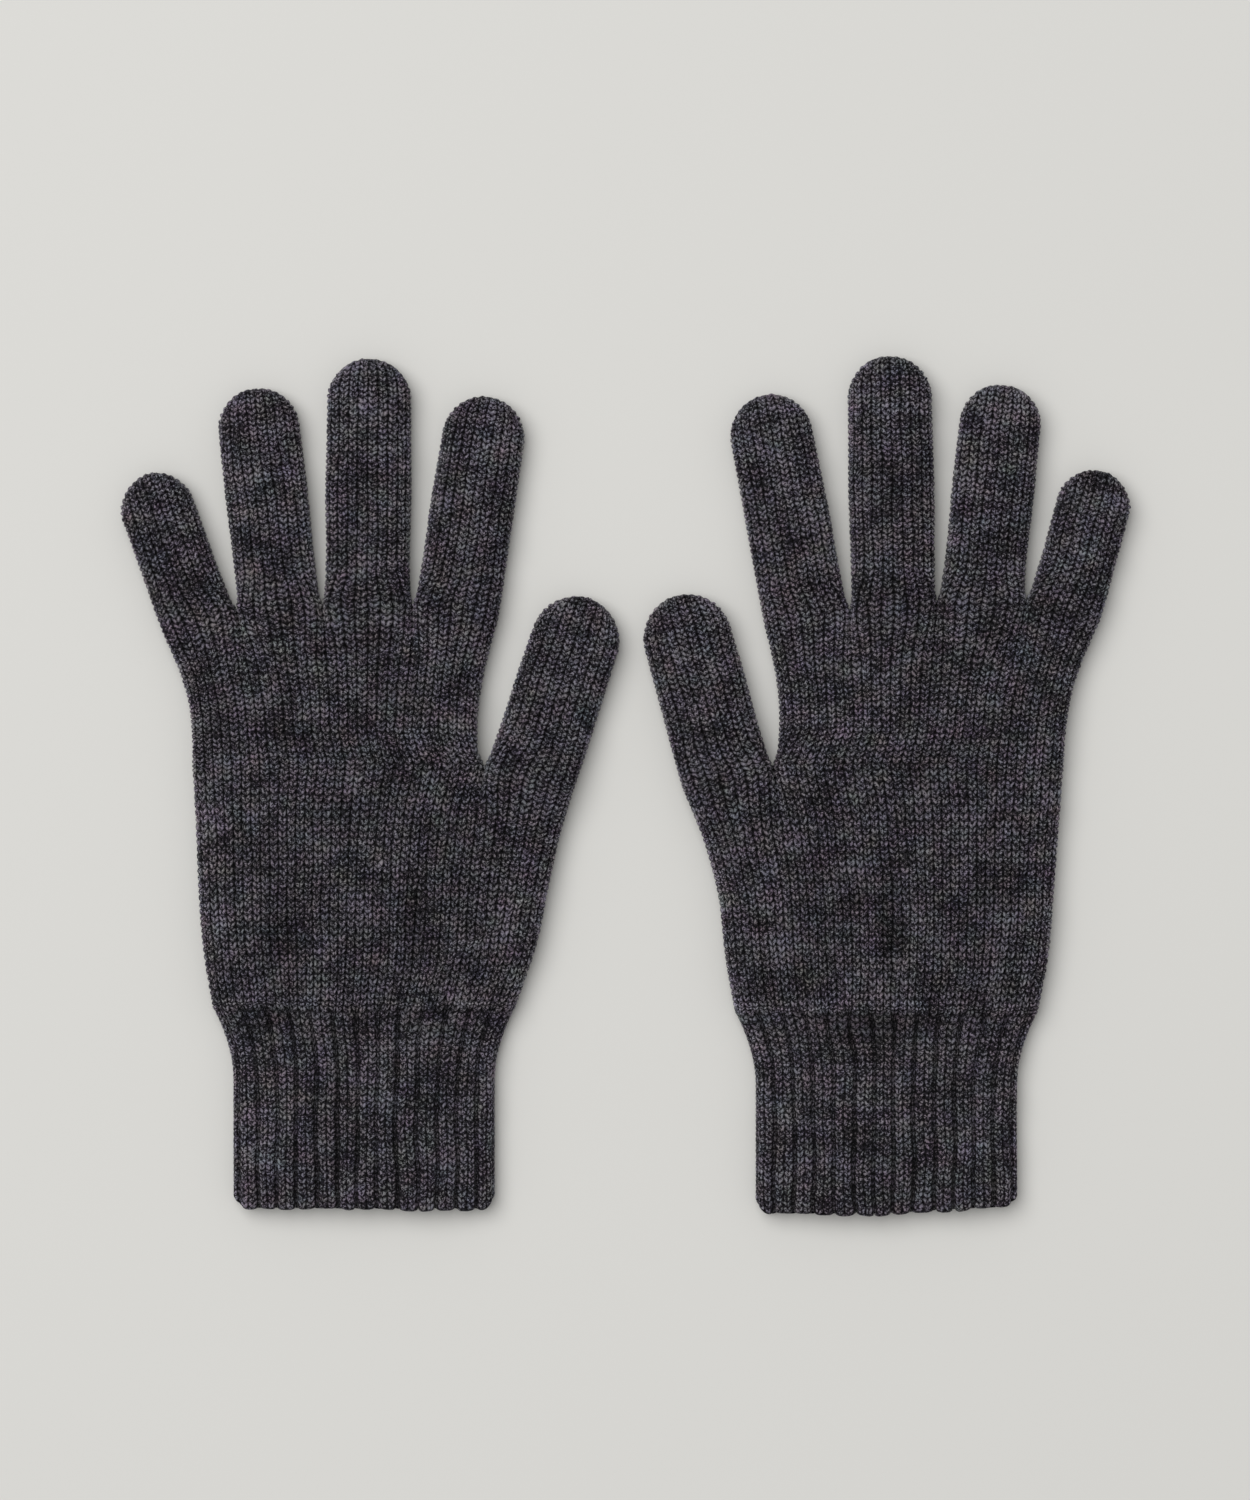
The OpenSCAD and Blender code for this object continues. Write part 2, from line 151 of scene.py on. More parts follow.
YARN_DEPTH = 1.05  # from the crest of a stitch to the pit beside it
YARN_SET = 0.05  # how far the crests lie under the tube's even shape
FULL_WALE = 1.8  # width of wale from which the stitches have their whole depth
LEAST_DEPTH = 0.1  # share of it that the most crowded ones keep
LEG_RISE = 1.3  # courses that a stitch's leg climbs over a whole wale
LEG_SHIFT = 0.2  # most that a column of legs lies above its place, in courses
LEG_LEAN = 0.14  # how far a leg's middle lies towards its wale's own middle
LEG_SLIMNESS = 0.8  # how fast a leg falls off across its run, where along it is 1
LEG_TOP = 0.2  # squared distance from its middle at which a leg begins to fall off
LEG_FALL = 0.9  # how steeply it does
LEG_DENT = 0.25  # most that one leg lies deeper than another
WALE_JITTER = 0.06  # how far stitches stray sideways and up, in wales and courses
COURSE_JITTER = 0.08
STRAY = 4  # length over which they do

RIB_WALES = 3  # a sunk purl wale and two knit ones
FURROW_MIDDLE = 0.5  # of the sunk wale, in wales
RIB_DEPTH = 1.9  # of the furrow that the sunk wale makes
RIB_SOFTNESS = 0.6  # how much of their own depth the rib's stitches lose
FURROW_SOFTNESS = 0.4  # and how much more in a furrow
FURROW_SPREAD = 0.5  # half its width, in wales
FURROW_SQUEEZE = 0.3  # how far the wales beside it close in on it
FULL_FURROW = 1.5  # width of wale from which a furrow has its whole depth
LEAST_FURROW = 0.3  # share of it that a crowded furrow keeps
UNDER_FURROW = 0.5  # depth of the furrows that lie flat on the table, as a share
LOOSEST_RIB, TIGHTEST_RIB = 0.75, 1.15  # depths of single furrows, as shares

# The fold that the hand makes over the rib, and the dip below it: height, place and spread of each.
RIDGE, RIDGE_PLACE, RIDGE_SPREAD = 2.6, 0.8, 2.2
DIP, DIP_PLACE, DIP_SPREAD = 1.4, -6, 4
RIDGE_GAP = {"left": 0.6, "right": 0}  # how much weaker they are in the middle, as a share
GAP_PLACE, GAP_SPREAD = -3, 16
# Low puckers all over: height, wavelength, a factor on x that draws them out sideways where it is below 1,
# and what is added to the glove's seed.
PUCKERS = [(0.5, 34, 1, 0), (0.5, 13, 0.3, 3), (0.2, 9, 1, 4)]
# Gathers where the hand's wales draw in to the rib, first above it and then in its top: their height, the
# span that they lie in, and how fast they grow and fade at its ends.
GATHERS = [(0.4, -2, 26, 3, 24), (0.3, CUFF_TOP, 2, 10, 3)]
GATHER_SPACING = 9.3
GATHER_SWAY, GATHER_SWAY_LENGTH = 1.2, 11  # how far they stray from it, in radians, and over what length
GATHER_LEAN = 0.05  # how far they lean sideways, in radians for each millimetre up
SWAY, SWAY_LENGTH = 0.15, 26  # how far the wales wander sideways
RIB_SWAY = 0.2  # and how much more in the rib
WANDER, WANDER_LENGTH = 0.3, 21  # how far the courses wander up and down

PAINTED_SHADE_PER_MM = 0.16  # painted shade for each millimetre of dent and painted light for each of swelling, where a rib's furrow gets 1 of painted shade
PAINTED_SHADE_STRENGTH = 0.62  # how much darker the knit is painted at 1 of painted shade
PAINTED_SIDE_SHEEN = 1.4  # painted sheen that lightens a tube's sides, on the same scale as the painted shade in a dent
TIP_PAINTED_LIGHT = 0.3  # and painted light that lightens a digit towards its end


def lerp(a, b, t):
    return a + (b - a) * t


def smooth(t):
    """From 0 to 1 as t does, level at both ends and beyond them."""
    c = np.clip(t, 0, 1)
    return c * c * (3 - 2 * c)


def dome(s):
    """Height of the rounded cross-section, at s from -1 to 1 across it."""
    return np.maximum(0, 1 - np.abs(s) ** ROUNDNESS) ** (1 / ROUNDNESS)


def bump(distance, spread):
    """A smooth hill, 1 at its middle."""
    return np.exp(-((distance / spread) ** 2))


def between(value, low, high, growth, fading):
    """0 outside a span and 1 well inside it."""
    return smooth((value - low) / growth) * smooth((high - value) / fading)


def uneven(x, y, wavelength, seed, waves=7):
    """A smooth uneven surface over the plan, mostly within -1 to 1: a sum of waves in all directions.

    The odd numbers in it, and those in chance(), only scatter the results.
    """
    total = np.zeros_like(x, dtype=float)
    for i in range(waves):
        turn = 2.4 * i + seed
        length = wavelength * (0.7 + 0.7 * ((0.618 * i + 0.37 * seed) % 1))
        total += np.sin(2 * math.pi * (x * math.cos(turn) + y * math.sin(turn)) / length + 1.9 * i * seed)
    return total / math.sqrt(waves)


def chance(a, b):
    """A number from 0 to 1 for each pair of whole numbers, with no pattern to it."""
    return (np.sin(a * 12.9898 + b * 78.233) * 43758.5453) % 1


def curve(points, t):
    """A Catmull-Rom curve through points, at t from 0 to 1."""
    last = len(points) - 1
    i = min(int(t * last), last - 1)
    u = t * last - i
    a, b, c, d = (np.array(points[min(max(k, 0), last)], float) for k in range(i - 1, i + 3))
    return b + ((c - a) * u + (2 * a - 5 * b + 4 * c - d) * u**2 + (3 * b - a - 3 * c + d) * u**3) / 2


# --- The lay of a glove, from the frame's joints ----------------------------------------------------------

Digit = namedtuple("Digit", "name root along across width length ends")
JOINTS = {joint["name"]: joint for joint in frame["joints"]}


class Glove:
    """Where one glove's digits, forks and edges lie, in its own frame."""

    def __init__(self, side):
        self.side = side
        self.mirror = 1 if side == "left" else -1
        self.seed = 1.0 if side == "left" else 2.0
        self.wrist = np.array(JOINTS[f"{side}_wrist_fold"]["pos_m"][:2]) / MM
        outer, inner = EDGES[side]
        self.outer = [(-WRIST_WIDTH / 2, 0)] + outer
        self.inner = [(WRIST_WIDTH / 2, 0)] + inner
        self.digits = {name: self.digit(name) for name in DIGIT_WIDTH}
        self.find_forks()

    def fold(self, name):
        """Plan place of a fold's hinge."""
        x, y = np.array(JOINTS[f"{self.side}_{name}"]["pos_m"][:2]) / MM - self.wrist
        return np.array([x * self.mirror, y])

    def digit(self, name):
        low, high = self.fold(f"{name}_root_fold"), self.fold(f"{name}_middle_fold")
        apart = np.linalg.norm(high - low)
        along = (high - low) / apart
        across = np.array([along[1], -along[0]])
        length = apart / (MIDDLE_CREASE - ROOT_CREASE)
        return Digit(name, low - along * ROOT_CREASE * length, along, across, DIGIT_WIDTH[name], length, None)

    def find_forks(self):
        """The finger forks and outer knuckles, and each digit's own two ends of its root line."""
        little, ring, middle, index, thumb = (self.digits[name] for name in DIGIT_WIDTH)
        first = little.root + little.across * little.width / 2
        second = 2 * ring.root - first
        third = index.root - index.across * index.width / 2
        self.knuckles = [
            little.root - little.across * little.width / 2,
            first,
            second,
            third,
            index.root + index.across * index.width / 2,
        ]
        self.thumb_fork = thumb.root - thumb.across * thumb.width / 2
        hand, beside = self.thumb_fork - self.outer[-1], self.thumb_fork - self.inner[-1]
        self.thumb_share = np.linalg.norm(hand) / (np.linalg.norm(hand) + np.linalg.norm(beside))
        for i, name in enumerate(FINGERS):
            self.digits[name] = self.digits[name]._replace(ends=(self.knuckles[i], self.knuckles[i + 1]))
        self.digits["thumb"] = thumb._replace(ends=(self.thumb_fork, self.inner[-1]))

    def place(self, points):
        """Points of the glove's own frame, in the shared frame's metres."""
        placed = np.array(points, float)
        placed[..., 0] = self.wrist[0] + self.mirror * placed[..., 0]
        placed[..., 1] += self.wrist[1]
        return placed * MM


# --- Cross-sections -----------------------------------------------------------------------------------

LINK_POINTS = 40  # points along each link of a cross-section, before the wales are laid out on it


def cross_section(knots, height, parted, webs, squash=1.0):
    """The upper and lower faces of a tube over a chain of plan knots, both from left to right.

    parted is 0 where the links are one tube and 1 where each is a tube of its own. webs are the heights
    of the dome at the knots, as shares of the whole.
    """
    turn = (1 - np.cos(np.pi * np.arange(LINK_POINTS + 1) / LINK_POINTS)) / 2
    links = len(knots) - 1
    plan, link_crown = [], []
    for k in range(links):
        share = turn if k == 0 else turn[1:]
        plan.append(knots[k] + np.outer(share, np.array(knots[k + 1]) - knots[k]))
        web = lerp(webs[k], webs[k + 1], smooth(share))
        link_crown.append(web + (1 - web) * dome(2 * share - 1))
    plan, link_crown = np.vstack(plan), np.concatenate(link_crown)
    reach = np.concatenate([[0], np.cumsum(np.linalg.norm(np.diff(plan, axis=0), axis=1))])
    share = reach / reach[-1]
    web = lerp(webs[0], webs[-1], smooth(share))
    crown = lerp(web + (1 - web) * dome(2 * share - 1), link_crown, parted) * squash
    middle = BELLY * height
    top = middle + (height - middle) * crown
    bottom = middle - middle * np.sin(np.minimum(1, UNDERSIDE_FLATNESS * crown) * math.pi / 2)
    return np.column_stack([plan, top]), np.column_stack([plan, bottom])


def lay_out(section, counts, wales, evenness=1.0, open_sides=(1, 1), own_pitch=1.0, rib=0.0, crowd=1.0):
    """Points of a tube's wale coordinates on its cross-section.

    counts are the front wales of each link. evenness is 1 where the front's wales are spread evenly and 0
    where each link has its own count. open_sides say how far the side wales have opened at the left and
    right, and own_pitch is 1 where they are as wide as this section's others and 0 where as wide as WALE.
    crowd is above 1 where the section has narrowed and its outer wales are squeezed against the sides.
    """
    top, bottom = section
    loop = np.vstack([top, bottom[::-1], top[:1]])
    arc = np.concatenate([[0], np.cumsum(np.linalg.norm(np.diff(loop, axis=0), axis=1))])
    last, total, front = len(top) - 1, arc[-1], sum(counts)
    knots = np.arange(len(counts) + 1) * LINK_POINTS
    upper, lower = arc[knots], arc[2 * last + 1 - knots][::-1]
    ticks = np.concatenate([[0], np.cumsum(counts)]).astype(float)
    turned = front - ticks[::-1]
    marks = []
    for face, order, sides in ((upper, ticks, open_sides), (lower, turned, open_sides[::-1])):
        reach = HALF_SIDE * lerp(WALE, (face[-1] - face[0]) / (front + SIDE_WALES), own_pitch)
        own = np.concatenate([[face[0] + sides[0] * reach], face[1:-1], [face[-1] - sides[1] * reach]])
        even = own[0] + (own[-1] - own[0]) * order / front
        marks.append(lerp(own, even, evenness))
    at = np.concatenate([ticks, front + SIDE_WALES + turned, [2 * (front + SIDE_WALES)]])
    arcs = np.concatenate([*marks, [total + marks[0][0]]])
    placed = np.interp(wales + rib * narrow_furrow(wales), at, arcs)
    placed = np.where(placed >= total, placed - total, placed)
    if crowd > 1:
        for low, high in ((0, upper[-1]), (lower[0], lower[-1])):
            half = (high - low) / 2
            inside = (placed >= low) & (placed <= high)
            out = (placed - low - half) / half
            moved = 1 - (1 - np.minimum(np.abs(out), 1)) ** crowd
            squeezed = low + half + np.sign(out) * half * moved
            placed = np.where(inside, squeezed, placed)
    return np.column_stack([np.interp(placed, arc, loop[:, k]) for k in range(3)])


def narrow_furrow(wales):
    """How far a wale coordinate moves in the rib, where the sunk wale is pulled narrow."""
    moves = FURROW_SQUEEZE * np.array([1, 0, -1, 0, 1])
    return np.interp(wales % RIB_WALES, [0, FURROW_MIDDLE, 1, 2, RIB_WALES], moves)


class Knit:
    """A tube of knitting as a grid: one row of points for each step up it, one column for each round it.

    counts are the front wales of each link. first_ids number the wales at the start of the front, the
    right side, the back and the left side, so that a wale keeps its number from piece to piece.
    """

    def __init__(self, glove, counts, first_ids, back_steps=FRONT_STEPS):
        self.glove, self.counts = glove, counts
        front = sum(counts)
        spans = (front, SIDE_WALES, front, SIDE_WALES)
        steps = (FRONT_STEPS, FRONT_STEPS, back_steps, FRONT_STEPS)
        starts = np.concatenate([[0], np.cumsum(spans)])
        runs = [start + np.arange(span * step) / step for start, span, step in zip(starts, spans, steps)]
        self.wales = np.concatenate(runs)
        self.round = float(starts[-1])
        numbers = [first + np.floor(run - start) for first, run, start in zip(first_ids, runs, starts)]
        self.ids = np.concatenate(numbers)
        self.rows, self.courses, self.ribs, self.tucks, self.painted_tip_lights = [], [], [], [], []

    def add_row(self, section, course, rib=0.0, tuck=0.0, painted_tip_light=0.0, **spacing):
        """Adds a row of points on a cross-section. spacing is passed on to lay_out()."""
        self.rows.append(lay_out(section, self.counts, self.wales, rib=rib, **spacing))
        self.courses.append(course)
        self.ribs.append(rib)
        self.tucks.append(tuck)
        self.painted_tip_lights.append(painted_tip_light)
        return self.rows[-1]

    def shape(self):
        """Pushes the grid into fabric. Sets its outer and inner faces and each point's stitch coordinates."""
        grid = np.array(self.rows)
        lists = (self.courses, self.ribs, self.tucks, self.painted_tip_lights)
        course, rib, tuck, painted_tip_light = (np.array(values)[:, None] for values in lists)
        height = np.maximum(grid[..., 2].max(axis=1, keepdims=True), 1)
        above = (grid[..., 2] / height - BELLY) / (1 - BELLY)
        upper = smooth(above)
        from_side = smooth(np.maximum(above, -above / BELLY))
        x, y = grid[..., 0].copy(), grid[..., 1].copy()
        # What is added to the seed gives each kind of unevenness its own waves.
        seed = self.glove.seed
        grid[..., 0] += upper * (SWAY + RIB_SWAY * rib) * uneven(x, y, SWAY_LENGTH, seed + 5)
        grid[..., 1] += upper * WANDER * uneven(x, y, WANDER_LENGTH, seed + 7)
        rise = swell(self.glove, x, y)
        grid[..., 2] += upper * rise

        step = np.roll(grid, -1, axis=1) - np.roll(grid, 1, axis=1)
        outward = np.cross(step, np.gradient(grid, axis=0))
        outward /= np.maximum(np.linalg.norm(outward, axis=-1, keepdims=True), 1e-9)
        wales_stepped = (np.roll(self.wales, -1) - np.roll(self.wales, 1)) % self.round
        wale_width = np.linalg.norm(step, axis=-1) / wales_stepped
        furrow_number = np.floor(self.wales / RIB_WALES + 0.4)
        tightness = lerp(LOOSEST_RIB, TIGHTEST_RIB, chance(furrow_number, 3))
        sunk = np.minimum(furrow(self.wales, FURROW_SPREAD), 1) * rib * tightness
        # Painted shade in furrows and dents, painted light on swellings, tube sides and towards a digit's
        # end.
        self.hollow = sunk - PAINTED_SHADE_PER_MM * upper * rise - painted_tip_light - PAINTED_SIDE_SHEEN * (1 - from_side)

        self.stitch_u = self.ids + self.wales % 1 + WALE_JITTER * uneven(x, y, STRAY, seed + 9)
        self.stitch_v = course + COURSE_JITTER * uneven(x, y, STRAY, seed + 11)
        depth = YARN_DEPTH * np.clip(wale_width / FULL_WALE, LEAST_DEPTH, 1)
        depth *= (1 - FURROW_SOFTNESS * sunk) * (1 - RIB_SOFTNESS * rib)
        sink = RIB_DEPTH * sunk * np.clip(wale_width / FULL_FURROW, LEAST_FURROW, 1)
        sink *= lerp(UNDER_FURROW, 1, upper)
        push = depth * stitch_gap(self.stitch_u, self.stitch_v) + YARN_SET + tuck + sink
        self.outer = grid - outward * push[..., None]
        # The inner face's rows lie far apart, so it keeps below every dent that lies between two of them.
        rows = np.arange(len(rise))
        near = [rise[np.clip(rows + k, 0, rows[-1])] for k in range(-INNER_SKIP, INNER_SKIP + 1)]
        below = upper * (rise - np.min(near, axis=0))
        self.inner = grid - outward * (WALL + sink + INNER_TUCK * tuck + below)[..., None]


def furrow(wales, spread):
    """The rib's sunk wale: 1 in its middle and 0 on the knit wales beside it."""
    from_middle = wales % RIB_WALES - FURROW_MIDDLE
    return bump(from_middle, spread) + bump(from_middle - RIB_WALES, spread)


def stitch_gap(wales, courses):
    """Plain knit's relief, from 0 on the yarn to 1 in the pits round each slanting leg of a stitch."""
    side = np.abs(wales % 1 - 0.5)
    leg = np.floor(2 * wales)
    climb = courses - LEG_RISE * side + LEG_SHIFT * chance(leg, 5)
    from_middle = (2 * (climb % 1) - 1) ** 2 + LEG_SLIMNESS * (4 * side - 1 + LEG_LEAN) ** 2
    dent = LEG_DENT * chance(leg, np.floor(climb))
    return np.clip(dent + LEG_FALL * (from_middle - LEG_TOP), 0, 1)


def swell(glove, x, y):
    """How far the upper layer lies above its even shape: puckers, dents and the folds above the rib."""
    rise = 0
    for height, wavelength, across, waves in PUCKERS:
        rise = rise + height * uneven(x * across, y, wavelength, glove.seed + waves)
    sway = GATHER_SWAY * np.sin(x / GATHER_SWAY_LENGTH + glove.seed)
    gather = np.sin(2 * math.pi * x / GATHER_SPACING + sway + GATHER_LEAN * y)
    for height, low, high, growth, fading in GATHERS:
        rise += height * gather * between(y, low, high, growth, fading)
    ridge = RIDGE * bump(y - RIDGE_PLACE, RIDGE_SPREAD) - DIP * bump(y - DIP_PLACE, DIP_SPREAD)
    rise += ridge * (1 - RIDGE_GAP[glove.side] * bump(x - GAP_PLACE, GAP_SPREAD))
    for place, reach, height in FOLDS[glove.side]:
        rise += height * bump(x - place[0], reach[0]) * bump(y - place[1], reach[1])
    for (foot_x, foot_y), lean, spread, top, height in SLANT_FOLDS[glove.side]:
        from_line = x - foot_x - (y - foot_y) * lean
        rise += height * bump(from_line, spread) * between(y, foot_y, top, *SLANT_ENDS)
    return rise


# --- The pieces of a glove ------------------------------------------------------------------------------

PALM_COUNTS = [31, 8]  # front wales under the fingers and under the thumb
# Numbers of the first wale of a piece's front, right side, back and left side. A wale that runs on from one
# piece to the next keeps its number, and those from 200 on begin at a fork.
HAND_IDS = [0, 39, 42, 81]
BODY_IDS = [0, 200, 50, 81]
DIGIT_IDS = {
    "little": [0, 210, 74, 81],
    "ring": [7, 220, 66, 230],
    "middle": [15, 240, 58, 250],
    "index": [23, 200, 50, 260],
    "thumb": [31, 39, 42, 270],
}
CUFF_COURSES = 26
RIB_COURSES_IN_PALM = 6  # between the cuff's top and the wrist crease
PALM_COURSES = 36
BODY_COURSES = 26
PALM_SHARE = 0.6  # how far up the hand the palm ends, where the thumb begins
HAND_RISE, HAND_FALL = 1 / 9, 1 / 3  # shares of the hand over which its height grows and sinks again
THUMB_PARTS = 0.75  # share of the palm's courses from which the thumb swells apart from it
FINGERS_PART = 0.6  # the same for the fingers, above the palm
RIB_END, RIB_FADE = 1, 4  # where the rib ends above the wrist crease, and the stretch over which it does

WELT = 1.2  # roundness of the cuff's bound-off edge
EDGE_SLANT = {"left": 0.3, "right": 2}  # how much shorter the cuff is at its outer side
SLANT_START, SLANT_LENGTH = 10, 50  # where that slant lies across the glove
EDGE_LIFT = 0.2  # of the whole edge
SCALLOP, SCALLOP_SPREAD = 1.3, 0.55  # how far the edge draws up at each furrow, and half its width in wales
CORNER_LIFT = 0.8  # how round the corners are, as a share of a quarter circle

BOW = 2.5  # how far the hand's side draws in between the thumb fork and the first finger
OUTER_BOW = 1.2  # the same at the little finger's side, as a share of it
CROTCH = {"left": 1.6, "right": 0.8}  # how much further it draws in just past the thumb fork
CROTCH_START, CROTCH_END = 5, 40  # distances from the fork over which that grows and fades
ROOT_REACH = 15  # how far past its root line a digit's sides still follow the forks
SLACK_START = 4  # distances past a fork over which its slack grows, then from where and how fast it fades
SLACK_TOP, SLACK_FADE = 12, 25
THUMB_THINS = 20  # how far up the thumb its height comes down to a finger's

TIP_LOOPS = 17  # loops round the half circle of a digit's end
TIP_LOOP_HEIGHT = 0.4
LOWEST_LOOP, HIGHEST_LOOP = 0.4, 1.3  # heights of single loops, as shares
TIP_FLATNESS = 0.6  # power of a digit's height by the width that is left, where 1 is a round end
TIP_END = 87  # degrees round the end at which the last small hole is drawn shut
TIP_CROWD = 6  # the most that the outer wales are squeezed aside there
STRAIGHT_STEPS, ROUND_STEPS = 40, 60  # places at which the way up a digit's straight part and end is measured


def course_steps(first, last):
    return np.linspace(first, last, (last - first) * COURSE_STEPS + 1)


def hand_height(t):
    """Height of the hand from the wrist, at 0, to the finger roots, at 1."""
    return lerp(TUBE_HEIGHT, HAND_HEIGHT, min(smooth(t / HAND_RISE), smooth((1 - t) / HAND_FALL)))


def rib_share(y):
    """How much of rib there is in the knit at a height above the wrist crease."""
    return smooth((RIB_END - y) / RIB_FADE)


def cuff_section(glove, y):
    """Cross-section of the cuff and of the wrist, up to the wrist crease."""
    half = lerp(CUFF_WIDTH, WRIST_WIDTH, max(0, 1 + y / FLARE) ** 2) / 2
    fork = half * (2 * glove.thumb_share - 1)
    return cross_section([(-half, y), (fork, y), (half, y)], TUBE_HEIGHT, 0, (0, 0, 0))


def bound_edge(glove, wales, x):
    """Where the cuff ends under each wale: a shallow scallop to a rib, two round corners and a slant."""
    scallop = SCALLOP * furrow(wales, SCALLOP_SPREAD)
    from_side = np.clip(CUFF_WIDTH / 2 - np.abs(x), 0, CORNER)
    corner = CORNER_LIFT * (CORNER - np.sqrt(CORNER**2 - (CORNER - from_side) ** 2))
    slant = EDGE_SLANT[glove.side] * smooth((SLANT_START - x) / SLANT_LENGTH)
    return -CUFF_LENGTH + EDGE_LIFT + scallop + corner + slant


def knit_cuff(glove):
    """The ribbed cuff, from its bound-off edge up."""
    knit = Knit(glove, PALM_COUNTS, HAND_IDS, BACK_STEPS)
    first = -RIB_COURSES_IN_PALM - CUFF_COURSES
    for course in course_steps(first, -RIB_COURSES_IN_PALM):
        up = (course - first) / CUFF_COURSES
        y = lerp(-CUFF_LENGTH, CUFF_TOP, up)
        from_edge = min(y + CUFF_LENGTH, WELT)
        tuck = WELT - math.sqrt(WELT**2 - (WELT - from_edge) ** 2)
        row = knit.add_row(cuff_section(glove, y), course, rib=1.0, tuck=tuck)
        row[:, 1] = lerp(bound_edge(glove, knit.wales, row[:, 0]), CUFF_TOP, up)
    return knit


def knit_palm(glove):
    """The top of the rib, then plain knit up to the thumb fork."""
    knit = Knit(glove, PALM_COUNTS, HAND_IDS, BACK_STEPS)
    for course in course_steps(-RIB_COURSES_IN_PALM, 0)[:-1]:
        y = -CUFF_TOP * course / RIB_COURSES_IN_PALM
        knit.add_row(cuff_section(glove, y), course, rib=rib_share(y))
    wrist_fork = lerp(np.array(glove.outer[0]), np.array(glove.inner[0]), glove.thumb_share)
    for course in course_steps(0, PALM_COURSES):
        t = course / PALM_COURSES
        knots = [curve(glove.outer, t), lerp(wrist_fork, glove.thumb_fork, t), curve(glove.inner, t)]
        parted = smooth((t - THUMB_PARTS) / (1 - THUMB_PARTS))
        section = cross_section(knots, hand_height(PALM_SHARE * t), parted, (0, FORK_WEB, 0))
        even = 1 - smooth(t)
        rib = rib_share(t * glove.thumb_fork[1])
        knit.add_row(section, course, rib=rib, evenness=even, own_pitch=even)
    return knit


def knit_finger_body(glove):
    """The hand from the thumb fork to the finger roots, where it parts into four tubes."""
    knit = Knit(glove, [FRONT_WALES[name] for name in FINGERS], BODY_IDS, BACK_STEPS)
    low = np.array(glove.outer[-1])
    side_length = np.linalg.norm(glove.knuckles[-1] - glove.thumb_fork)
    for course in course_steps(0, BODY_COURSES):
        t = course / BODY_COURSES
        from_fork = t * side_length
        bow = BOW * math.sin(math.pi * t)
        drawn_in = smooth(from_fork / CROTCH_START) * (1 - smooth(from_fork / CROTCH_END))
        knots = [lerp(lerp(low, glove.thumb_fork, k / 4), glove.knuckles[k], t) for k in range(5)]
        knots[0] = knots[0] + (OUTER_BOW * bow, 0)
        knots[-1] = knots[-1] - (bow + CROTCH[glove.side] * drawn_in, 0)
        thumb_web = FORK_WEB * (1 - smooth(from_fork / WEB_LENGTH))
        webs = (0, FORK_WEB, FORK_WEB, FORK_WEB, thumb_web)
        parted = smooth((t - FINGERS_PART) / (1 - FINGERS_PART))
        section = cross_section(knots, hand_height(lerp(PALM_SHARE, 1, t)), parted, webs)
        sides = (1, smooth(from_fork / SIDE_OPENING))
        number = PALM_COURSES + course
        knit.add_row(section, number, evenness=1 - smooth(t), own_pitch=0, open_sides=sides)
    return knit


def digit_section(digit, at, narrow=1.0, squash=1.0):
    """A digit's cross-section at a distance from its root, with how far its side wales have opened."""
    half = digit.width * lerp(1, TIP_SHARE, smooth(at / digit.length)) / 2
    middle = digit.root + digit.along * at
    rooted = 1 - smooth(at / ROOT_REACH)
    slack = FORK_SLACK * smooth(at / SLACK_START) * (1 - smooth((at - SLACK_TOP) / SLACK_FADE))
    at_fork = (digit.name != "little", digit.name not in ("index", "thumb"))
    knots = []
    for way, end, fork in zip((-1, 1), digit.ends, at_fork):
        off_line = end - (digit.root + way * digit.across * digit.width / 2)
        reach = half * narrow - slack * fork
        knots.append(middle + way * digit.across * reach + off_line * rooted)
    webs = [FORK_WEB * (1 - smooth(at / WEB_LENGTH)) * fork for fork in at_fork]
    sides = [smooth(at / SIDE_OPENING) if fork else 1 for fork in at_fork]
    root_height = HAND_HEIGHT if digit.name == "thumb" else TUBE_HEIGHT
    height = lerp(root_height, TUBE_HEIGHT, smooth(at / THUMB_THINS))
    return cross_section(knots, height, 0, webs, squash), sides


def first_course(digit):
    """Number of the course at a digit's root, counted from the wrist crease."""
    return PALM_COURSES if digit.name == "thumb" else PALM_COURSES + BODY_COURSES


def lower_courses(digit):
    """Courses of a digit's lower piece."""
    return round(SPLIT * digit.length / COURSE)


def knit_digit_lower(glove, digit):
    """The digit from its root to a place between its two creases."""
    knit = Knit(glove, [FRONT_WALES[digit.name]], DIGIT_IDS[digit.name])
    courses = lower_courses(digit)
    for course in course_steps(0, courses):
        way_up = SPLIT * course / courses
        section, sides = digit_section(digit, way_up * digit.length)
        pitch = smooth(course / courses)
        number = first_course(digit) + course
        # Painted light, growing towards the digit's end.
        knit.add_row(section, number, painted_tip_light=TIP_PAINTED_LIGHT * way_up, own_pitch=pitch, open_sides=sides)
    return knit


def face_length(section):
    """Length of a cross-section's upper face, from side to side over the top."""
    return np.linalg.norm(np.diff(section[0], axis=0), axis=1).sum()


